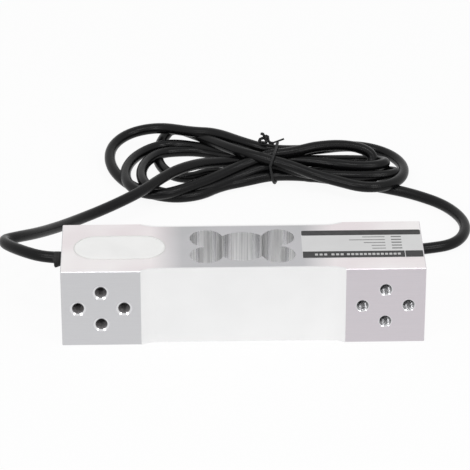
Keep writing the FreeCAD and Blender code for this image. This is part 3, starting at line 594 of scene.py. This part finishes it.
ENDS = (("fixed_end", -HOLE_X, 6.6, dull_grey_cut), ("loaded_end", HOLE_X, 5.6, freshly_cut))
for end, middle_x, mouth, cut in ENDS:
    for side, face in (("front", -1), ("rear", 1)):
        holes = [
            thread(middle_x + dx * PITCH_ALONG / 2, HOLE_Z + dz * PITCH_ACROSS / 2, face, mouth)
            for dx, dz in ((-1, 0), (1, 0), (0, -1), (0, 1))
        ]
        piece(f"threads_{end}_{side}", holes, cut, sharp=60)

# %% [markdown]
# ## The print on the label
# The foil label has a dark band along each long edge, and the front one is crossed by a
# thin gap. The words of a real label are left off. In their place are plain bars, laid out
# as a few short entries, and a row of plain blocks. They are thin films of three inks.


# %% Make the bands and bars
def plate(x0, x1, y0, y1, z0, z1, radius=0.05, steps=5):
    """A flat plate with rounded corners: each corner's centre plus radius times (cos, sin).

    Rows go from the middle of the top to its rim, down to the lower rim and to its middle.
    """
    quarter = np.linspace(0, np.pi / 2, steps)
    angle = (quarter[None] + np.arange(4)[:, None] * np.pi / 2).ravel()
    centre_x = np.repeat([x1 - radius, x0 + radius, x0 + radius, x1 - radius], steps)
    centre_y = np.repeat([y1 - radius, y1 - radius, y0 + radius, y0 + radius], steps)
    rim = np.stack([centre_x + radius * np.cos(angle), centre_y + radius * np.sin(angle)], 1)
    middle = np.zeros_like(rim) + [(x0 + x1) / 2, (y0 + y1) / 2]
    rows = [(middle, z1), (rim, z1), (rim, z0), (middle, z0)]
    return np.stack([np.column_stack([plan, np.full(len(plan), z)]) for plan, z in rows]) * MM


BEAM_TOP = 35.0
INK, FILM_TOP = 0.02, BEAM_TOP + 0.1
low, high = FILM_TOP - 0.03, FILM_TOP + INK
# screen ink is satin and a little uneven, so its flat fields don't look painted on
dark_ink, tree, shader = finish("dark_screen_ink", "212122", 0.42, IOR=1.5, Specular_IOR_Level=0.35)
feed(tree, shader, "Base Color", blend(tree, vary(tree, grain(tree, 6), 0, 1), "1B1B1C", "272728"))
feed(tree, shader, "Roughness", vary(tree, grain(tree, 2), 0.34, 0.5))
relief(tree, shader, grain(tree, 0.3), 0.004, 0.5)
# the pale blocks are a little darker than the film, so they stay soft on the dark band
pale_ink, tree, shader = finish("pale_screen_ink", "BEBEBE", 0.42, IOR=1.5)
feed(tree, shader, "Roughness", vary(tree, grain(tree, 2), 0.34, 0.5))
relief(tree, shader, grain(tree, 0.3), 0.004, 0.5)
# grey that changes within a millimetre gives a bar the broken tone of a line of fine print
grey_ink, tree, shader = finish("grey_screen_ink", "686868", 0.45, IOR=1.5)
feed(tree, shader, "Base Color", blend(tree, vary(tree, grain(tree, 0.7), 0, 1), "565656", "828282"))
feed(tree, shader, "Roughness", vary(tree, grain(tree, 2), 0.38, 0.52))
relief(tree, shader, grain(tree, 0.3), 0.004, 0.5)

LABEL_X = (24.8, 74.5)
REAR_BAND_Y, FRONT_BAND_Y = (8.2, 12.35), (-10.55, -5.25)
BAND_GAP = (66.95, 67.25)
bands = [
    plate(*LABEL_X, *REAR_BAND_Y, low, high, 0.7),
    plate(LABEL_X[0], BAND_GAP[0], *FRONT_BAND_Y, low, high, 0.3),
    plate(BAND_GAP[1], LABEL_X[1], *FRONT_BAND_Y, low, high, 0.3),
]
piece("label_bands", bands, dark_ink)
# five entries: a short bar for the name and a longer one for the value, both plain
ENTRY_Y = [6.6, 4.2, 1.8, -0.6, -3.0]
VALUE_FROM = [50.0, 44.5, 50.5, 53.6, 53.8]
bars = [plate(62.0, 66.2, y - 0.5, y + 0.4, low, high) for y in ENTRY_Y]
bars += [plate(x, 59.4, y - 0.35, y + 0.2, low, high) for x, y in zip(VALUE_FROM, ENTRY_Y)]
piece("label_entries", bars, grey_ink)
# the front band's entry is a row of small plain blocks, in three groups: first x, step, count
MARK_GROUPS = [(29.8, 1.9, 3), (36.6, 1.9, 3), (43.0, 1.75, 13)]
MARK_LENGTH, MARK_Y = 1.25, (-8.7, -7.1)
marks = [
    plate(x0, x0 + MARK_LENGTH, *MARK_Y, high - 0.01, high + INK, 0.2, 3)
    for first, step, count in MARK_GROUPS for x0 in first + step * np.arange(count)
]
piece("label_marks", marks, pale_ink)

# %% [markdown]
# ## The potting's skin
# The pocket was filled with white silicone that levelled itself. It sits a hair low at the
# wall and stands a little proud inside, and its edge is the faint oblong line on the top.
# The skin is a grid from the pocket's edge inwards over the CAD potting.

# %% Make the skin
POCKET_LENGTH, POCKET_WIDTH, POCKET_X = 37.8, 19.3, -50.9
# broad soft highlights on a slightly uneven white tell poured silicone from painted metal
cast_silicone, tree, shader = finish("poured_white_silicone", "F3F3F2", 0.4, IOR=1.41)
feed(tree, shader, "Base Color", blend(tree, vary(tree, grain(tree, 12), 0, 1), "F0F0EF", "F6F6F5"))
feed(tree, shader, "Roughness", vary(tree, grain(tree, 5), 0.34, 0.5))
relief(tree, shader, grain(tree, 7, detail=1), 0.12, 0.5)


def pocket_spine(turn):
    """The x of the pocket's straight spine, which its outline goes round by the angle turn."""
    return POCKET_X + np.clip(4 * np.cos(turn), -1, 1) * (POCKET_LENGTH - POCKET_WIDTH) / 2


def potting_skin(columns=96):
    """An oblong dome: each point lies inwards of the oblong's outline by d.

    The outline is a straight spine plus (width / 2 - d) round it. The height is the top
    less a 0.12 mm groove at the wall, rising over 0.8 mm to a crown of 0.16 mm.
    """
    half = POCKET_WIDTH / 2
    inward = np.concatenate([[0.04, 0.1, 0.2, 0.32, 0.45, 0.6, 0.8, 1.1], np.linspace(1.6, half, 14)])
    lift = -0.12 + 0.28 * np.clip(inward / 0.8, 0, 1) ** 0.6
    turn = np.linspace(0, 2 * np.pi, columns, endpoint=False)
    spine = pocket_spine(turn)[None]
    radius = (half - inward)[:, None]
    x = spine + radius * np.cos(turn)
    y = radius * np.sin(turn)
    z = BEAM_TOP + lift[:, None] + 0 * x
    below = np.full_like(spine, BEAM_TOP - 0.3)
    under = np.stack([x[:1], y[:1], below], -1)
    under_spine = np.stack([spine, 0 * spine, below], -1)
    return np.concatenate([under_spine, under, np.stack([x, y, z], -1)]) * MM


piece("potting_skin", [potting_skin()], cast_silicone)

# %% Make the seam round the potting
# where silicone meets metal a fine grey ring, half sunk and 0.4 mm wide, is painted shade of the gap at the
# wall; it is duller than the silicone, so the pocket's outline can be read on white
seam_shade_grey, tree, shader = finish("painted_seam_shade", "DADAD8", 0.55, IOR=1.41)
feed(tree, shader, "Roughness", vary(tree, grain(tree, 1.5), 0.48, 0.62))
relief(tree, shader, grain(tree, 0.8), 0.02, 0.5)
SEAM_RADIUS = 0.2
turn = np.linspace(0, 2 * np.pi, 160, endpoint=False)
seam_x = pocket_spine(turn) + POCKET_WIDTH / 2 * np.cos(turn)
seam_y = POCKET_WIDTH / 2 * np.sin(turn)
seam_line = np.stack([seam_x, seam_y, np.full_like(turn, BEAM_TOP + 0.02)], 1) * MM
seam_ring = tube(seam_line, SEAM_RADIUS * MM, 8, closed=True)
piece("potting_seam_shade", [seam_ring], seam_shade_grey)

# %% [markdown]
# ## The beam's metal
# The bar is aluminium with a fine satin finish on its label side, and duller milled faces
# on its end blocks. The window was cut by an end mill that left streaks along its depth,
# and the mouths of the holes were turned bright. A real metal's colour is its reflection,
# so each kind of face gets its own, told apart by its direction and its place. Painted
# shade makes every face but the top and bottom darker than the top, and the middle of the
# top and bottom darker than their ends.

# %% Make the metal
beam_metal, tree, shader = finish("milled_aluminium", "E6E4E6", 0.36, Metallic=1.0)
where = add(tree, "TexCoord").outputs["Object"]
x, y, _ = add(tree, "SeparateXYZ", {"Vector": where}).outputs
facing = add(tree, "NewGeometry").outputs["True Normal"]
turned = add(tree, "VectorMath", {0: facing}, operation="ABSOLUTE").outputs[0]
_, along_y, upright = add(tree, "SeparateXYZ", {"Vector": turned}).outputs
WINDOW_HALF_X, WINDOW_HALF_Y = 22.3 * MM, 14.4 * MM
from_middle = reckon(tree, "ABSOLUTE", x)
from_axis = reckon(tree, "ABSOLUTE", y)
inside_x = reckon(tree, "LESS_THAN", from_middle, WINDOW_HALF_X)
inside_y = reckon(tree, "LESS_THAN", from_axis, WINDOW_HALF_Y)
in_window = reckon(tree, "MULTIPLY", inside_x, inside_y)
# clouds of 35 mm, faintly pink and faintly blue, are what a satin anodised face shows
clouds = vary(tree, grain(tree, 35, detail=2), 0, 1, 0.35, 0.65)
satin = blend(tree, clouds, "E2DADC", "ECE9E9")
# painted shade: the middle of the top and bottom is a darker grey, full within 25 mm of the centre and gone
# by 38 mm
shaded_middle_grey = blend(tree, clouds, "B6B6B8", "BEBDC0")
satin = blend(tree, vary(tree, from_middle, 0, 1, 25 * MM, 38 * MM), shaded_middle_grey, satin)
# the end blocks are milled along the beam: lines 0.4 mm apart and 12 mm long, hardly visible.
# Their grey is partly that milled finish and partly painted shade, darker than the top's
lines = grain(tree, 0.4, (30, 30, 1), detail=2)
milled_and_shaded_block = blend(tree, vary(tree, x, 0, 1, -40 * MM, 40 * MM), "CACACC", "CDC7CC")
milled_and_shaded_block = blend(tree, vary(tree, lines, 0, 0.15), milled_and_shaded_block, "BAB9BE")
# the cutter's streaks in the window are 0.5 to 2 mm wide and run the whole depth
streaks = grain(tree, 0.9, (1, 1, 60), detail=4)
walls = blend(tree, vary(tree, streaks, 0, 1, 0.32, 0.68), "D2D2D2", "FEFEFE")
# every face but the top and bottom takes the block grey, so the sides are painted darker than the top as
# shade
colour = blend(tree, reckon(tree, "GREATER_THAN", upright, 0.95), milled_and_shaded_block, satin)
is_wall = reckon(tree, "MULTIPLY", in_window, reckon(tree, "LESS_THAN", upright, 0.5))
colour = blend(tree, is_wall, colour, walls)
# the countersinks lean, so their faces are neither square to the loaded faces nor along them
leans_out = reckon(tree, "GREATER_THAN", along_y, 0.8)
leans_in = reckon(tree, "LESS_THAN", along_y, 0.93)
mouths = reckon(tree, "MULTIPLY", leans_out, leans_in)
colour = blend(tree, mouths, colour, "DADADC")
feed(tree, shader, "Base Color", colour)
# short scratches along the beam make the satin, and the mouths are polished far smoother
satin_rough = vary(tree, grain(tree, 0.5, (12, 1, 1)), 0.3, 0.42)
polish = reckon(tree, "MULTIPLY_ADD", mouths, -0.24, satin_rough)
feed(tree, shader, "Roughness", polish)
relief(tree, shader, grain(tree, 0.3), 0.004, 0.4)

# %% [markdown]
# ## The other CAD finishes
# The covers are brushed-on silicone: matt, a little uneven, nearly pure white. The label
# is a grey polyester film. Under the covers and in the potting sit parts that only show
# when the cell is taken apart, and they get their own finishes too.

# %% Make the covers and the film
# wide shallow waves and no sharp highlight make the covers look hand-brushed and soft
brushed_silicone, tree, shader = finish("brushed_white_silicone", "EFEFEF", 0.52, IOR=1.41)
feed(tree, shader, "Base Color", blend(tree, vary(tree, grain(tree, 25, detail=2), 0, 1), "ECECEC", "F1F1F1"))
feed(tree, shader, "Roughness", vary(tree, grain(tree, 3), 0.46, 0.6))
relief(tree, shader, grain(tree, 9, (2, 1, 1), detail=1), 0.1, 0.4)
# a fine matt grain and a calm even grey set the film apart from the metal round it
film, tree, shader = finish("grey_polyester_film", "D2D2D2", 0.38, IOR=1.6)
feed(tree, shader, "Base Color", blend(tree, vary(tree, grain(tree, 16), 0, 1), "CFCFCF", "D6D6D6"))
feed(tree, shader, "Roughness", vary(tree, grain(tree, 1), 0.3, 0.46))
relief(tree, shader, grain(tree, 0.4), 0.004, 0.4)

# %% Make the finishes of the wiring
# clear amber over dull metal stripes is how a foil gauge is known at a glance
amber, tree, shader = finish("polyimide_gauge_backing", "B4732A", 0.25, IOR=1.7)
where = add(tree, "TexCoord").outputs["Object"]
# the foil grid of a gauge: strands 0.4 mm apart that run along the beam
FOIL_PITCH = 0.4 * MM
placed = add(tree, "Mapping", {"Vector": where, "Scale": (0, 0, 1)}).outputs[0]
waves = {"Vector": placed, "Scale": math.pi / (10 * FOIL_PITCH), "Distortion": 0.0}
foil = add(tree, "TexWave", waves, bands_direction="Z").outputs["Fac"]
feed(tree, shader, "Base Color", blend(tree, vary(tree, foil, 0, 1, 0.45, 0.55), "B4732A", "8C7A62"))
# a soft bright blob with dull patches, as solder looks once it has set
solder, tree, shader = finish("tinned_solder", "BDBDBB", 0.28, Metallic=1.0)
feed(tree, shader, "Roughness", vary(tree, grain(tree, 0.7), 0.18, 0.42))
relief(tree, shader, grain(tree, 1.2, detail=1), 0.05, 0.6)
# copper red that deepens along the wire, under a clear glossy coat
enamel_copper, tree, shader = finish("enamelled_copper", "A8542C", 0.22, Metallic=1.0, Coat_Weight=0.6)
feed(tree, shader, "Base Color", blend(tree, vary(tree, grain(tree, 2), 0, 1), "9C4A24", "B96438"))
# two greens close together show the glass cloth under the solder resist
laminate, tree, shader = finish("green_board_laminate", "1C5C30", 0.34, IOR=1.55)
weave = grain(tree, 0.5, detail=1)
feed(tree, shader, "Base Color", blend(tree, vary(tree, weave, 0, 1), "174E29", "236A3A"))
relief(tree, shader, weave, 0.01, 0.4)
# a dipped coat: glossy, with slow dents where it ran
lacquer, tree, shader = finish("blue_resistor_lacquer", "2A4370", 0.26, IOR=1.5)
feed(tree, shader, "Roughness", vary(tree, grain(tree, 0.6), 0.2, 0.36))
relief(tree, shader, grain(tree, 0.8, detail=1), 0.03, 0.5)

# each node takes the finish of the first name here that its own name starts with
FINISHES = {
    "beam": beam_metal, "gauge_cover": brushed_silicone, "pocket_potting": cast_silicone,
    "rating_label": film, "strain_gauge": amber, "solder_terminal": solder,
    "gauge_leads": enamel_copper, "bridge_wires": enamel_copper, "bridge_board": laminate,
    "zero_trim": lacquer, "span_trim": lacquer, "temperature": lacquer,
    "drain_wire": tinned, "cable": pvc_black, "twist_tie": tie_coat,
    **{f"core_{colour}": material for colour, material in core_finish.items()},
}
for name, node in nodes.items():
    match = next(key for key in FINISHES if name.startswith(key))
    node.data.materials.clear()
    node.data.materials.append(FINISHES[match])
print(f"{len(nodes)} nodes have their finishes")

# %% [markdown]
# ## Floor and light
# A white sweep, two large soft lamps in front and three smaller ones overhead light small
# products evenly. The camera and reflections see the sweep as plain white, while the object
# is lit at a lower level, and the floor still takes a faint shadow.

# %% Make the floor and the backdrop
WHITE = (1.0, 1.0, 1.0, 1.0)
GLOW_SHARE, AMBIENT = 0.93, 0.5


def seen_directly(tree):
    """1 for rays from the camera, and for reflected and refracted ones; 0 for diffuse light."""
    path = add(tree, "LightPath").outputs
    either = reckon(tree, "MAXIMUM", path["Is Camera Ray"], path["Is Glossy Ray"])
    return reckon(tree, "MAXIMUM", either, path["Is Transmission Ray"])


# the paint is mostly its own white glow to the camera, and the rest takes the shadow
floor_paint = bpy.data.materials.new("white_sweep")
floor_paint.use_nodes = True
tree = floor_paint.node_tree
tree.nodes.clear()
matt = add(tree, "BsdfDiffuse", {"Color": linear("EFEFEF")}).outputs[0]
glow = add(tree, "Emission", {"Color": WHITE, "Strength": 1.0}).outputs[0]
share = reckon(tree, "MULTIPLY", seen_directly(tree), GLOW_SHARE)
mixed = add(tree, "MixShader", {0: share, 1: matt, 2: glow}).outputs[0]
add(tree, "OutputMaterial", {"Surface": mixed})

# a disc of rings, a tenth of a millimetre under the object
reach = np.array([0.0, 0.5, 1.5, 3.0])[:, None]
angle = np.linspace(0, 2 * np.pi, 48, endpoint=False)[None]
disc = np.stack([reach * np.cos(angle), reach * np.sin(angle), 0 * reach * angle - 0.1 * MM], -1)
floor_mesh = bpy.data.meshes.new("floor")
index = np.arange(disc.shape[0] * disc.shape[1]).reshape(disc.shape[:2])
beside_index = np.roll(index, -1, 1)
floor_faces = np.stack([index[:-1], index[1:], beside_index[1:], beside_index[:-1]], -1).reshape(-1, 4)
floor_mesh.from_pydata(disc.reshape(-1, 3).tolist(), [], floor_faces.tolist())
floor_mesh.validate()
floor_mesh.materials.append(floor_paint)
floor = bpy.data.objects.new("floor", floor_mesh)
bpy.context.scene.collection.objects.link(floor)

world = bpy.data.worlds.new("studio")
bpy.context.scene.world = world
world.use_nodes = True
tree = world.node_tree
tree.nodes.clear()
level = vary(tree, seen_directly(tree), AMBIENT, 1.0, 0.0, 1.0)
backdrop = add(tree, "Background", {"Color": WHITE, "Strength": level}).outputs[0]
add(tree, "OutputWorld", {"Surface": backdrop})
print(f"floor of {2 * reach.max():.0f} m, ambient level {AMBIENT}")


# %% Hang the lamps
def lamp(name, place, target, size, power):
    """A square soft lamp at a place, turned towards its target."""
    light = bpy.data.lights.new(name, "AREA")
    light.size = size
    light.energy = power
    hung = bpy.data.objects.new(name, light)
    bpy.context.scene.collection.objects.link(hung)
    towards = unit(np.array(target, float) - np.array(place, float))
    side = unit(np.cross(towards, [0.0, 0.0, 1.0]))
    up = np.cross(side, towards)
    turned = Matrix(np.column_stack([side, up, -towards]).tolist()).to_4x4()
    hung.matrix_world = Matrix.Translation(place) @ turned
    print(f"{name}: {power} W")


BEAM_MIDDLE, BEHIND_BEAM = (0, 0, 0.02), (0, 0.05, 0)
FRONT_SIZE, TOP_SIZE, TOP_POWER = 0.42, 0.26, 2.1
lamp("left_soft_lamp", (-0.75, -1.15, 0.62), BEAM_MIDDLE, FRONT_SIZE, 3.15)
lamp("right_soft_lamp", (0.75, -1.15, 0.62), BEAM_MIDDLE, FRONT_SIZE, 2.9)
lamp("top_left_soft_lamp", (-0.6, -0.45, 1.15), BEHIND_BEAM, TOP_SIZE, TOP_POWER)
lamp("top_soft_lamp", (0, -0.45, 1.25), BEHIND_BEAM, TOP_SIZE, TOP_POWER)
lamp("top_right_soft_lamp", (0.6, -0.45, 1.15), BEHIND_BEAM, TOP_SIZE, TOP_POWER)
bpy.context.scene.view_settings.view_transform = "Standard"
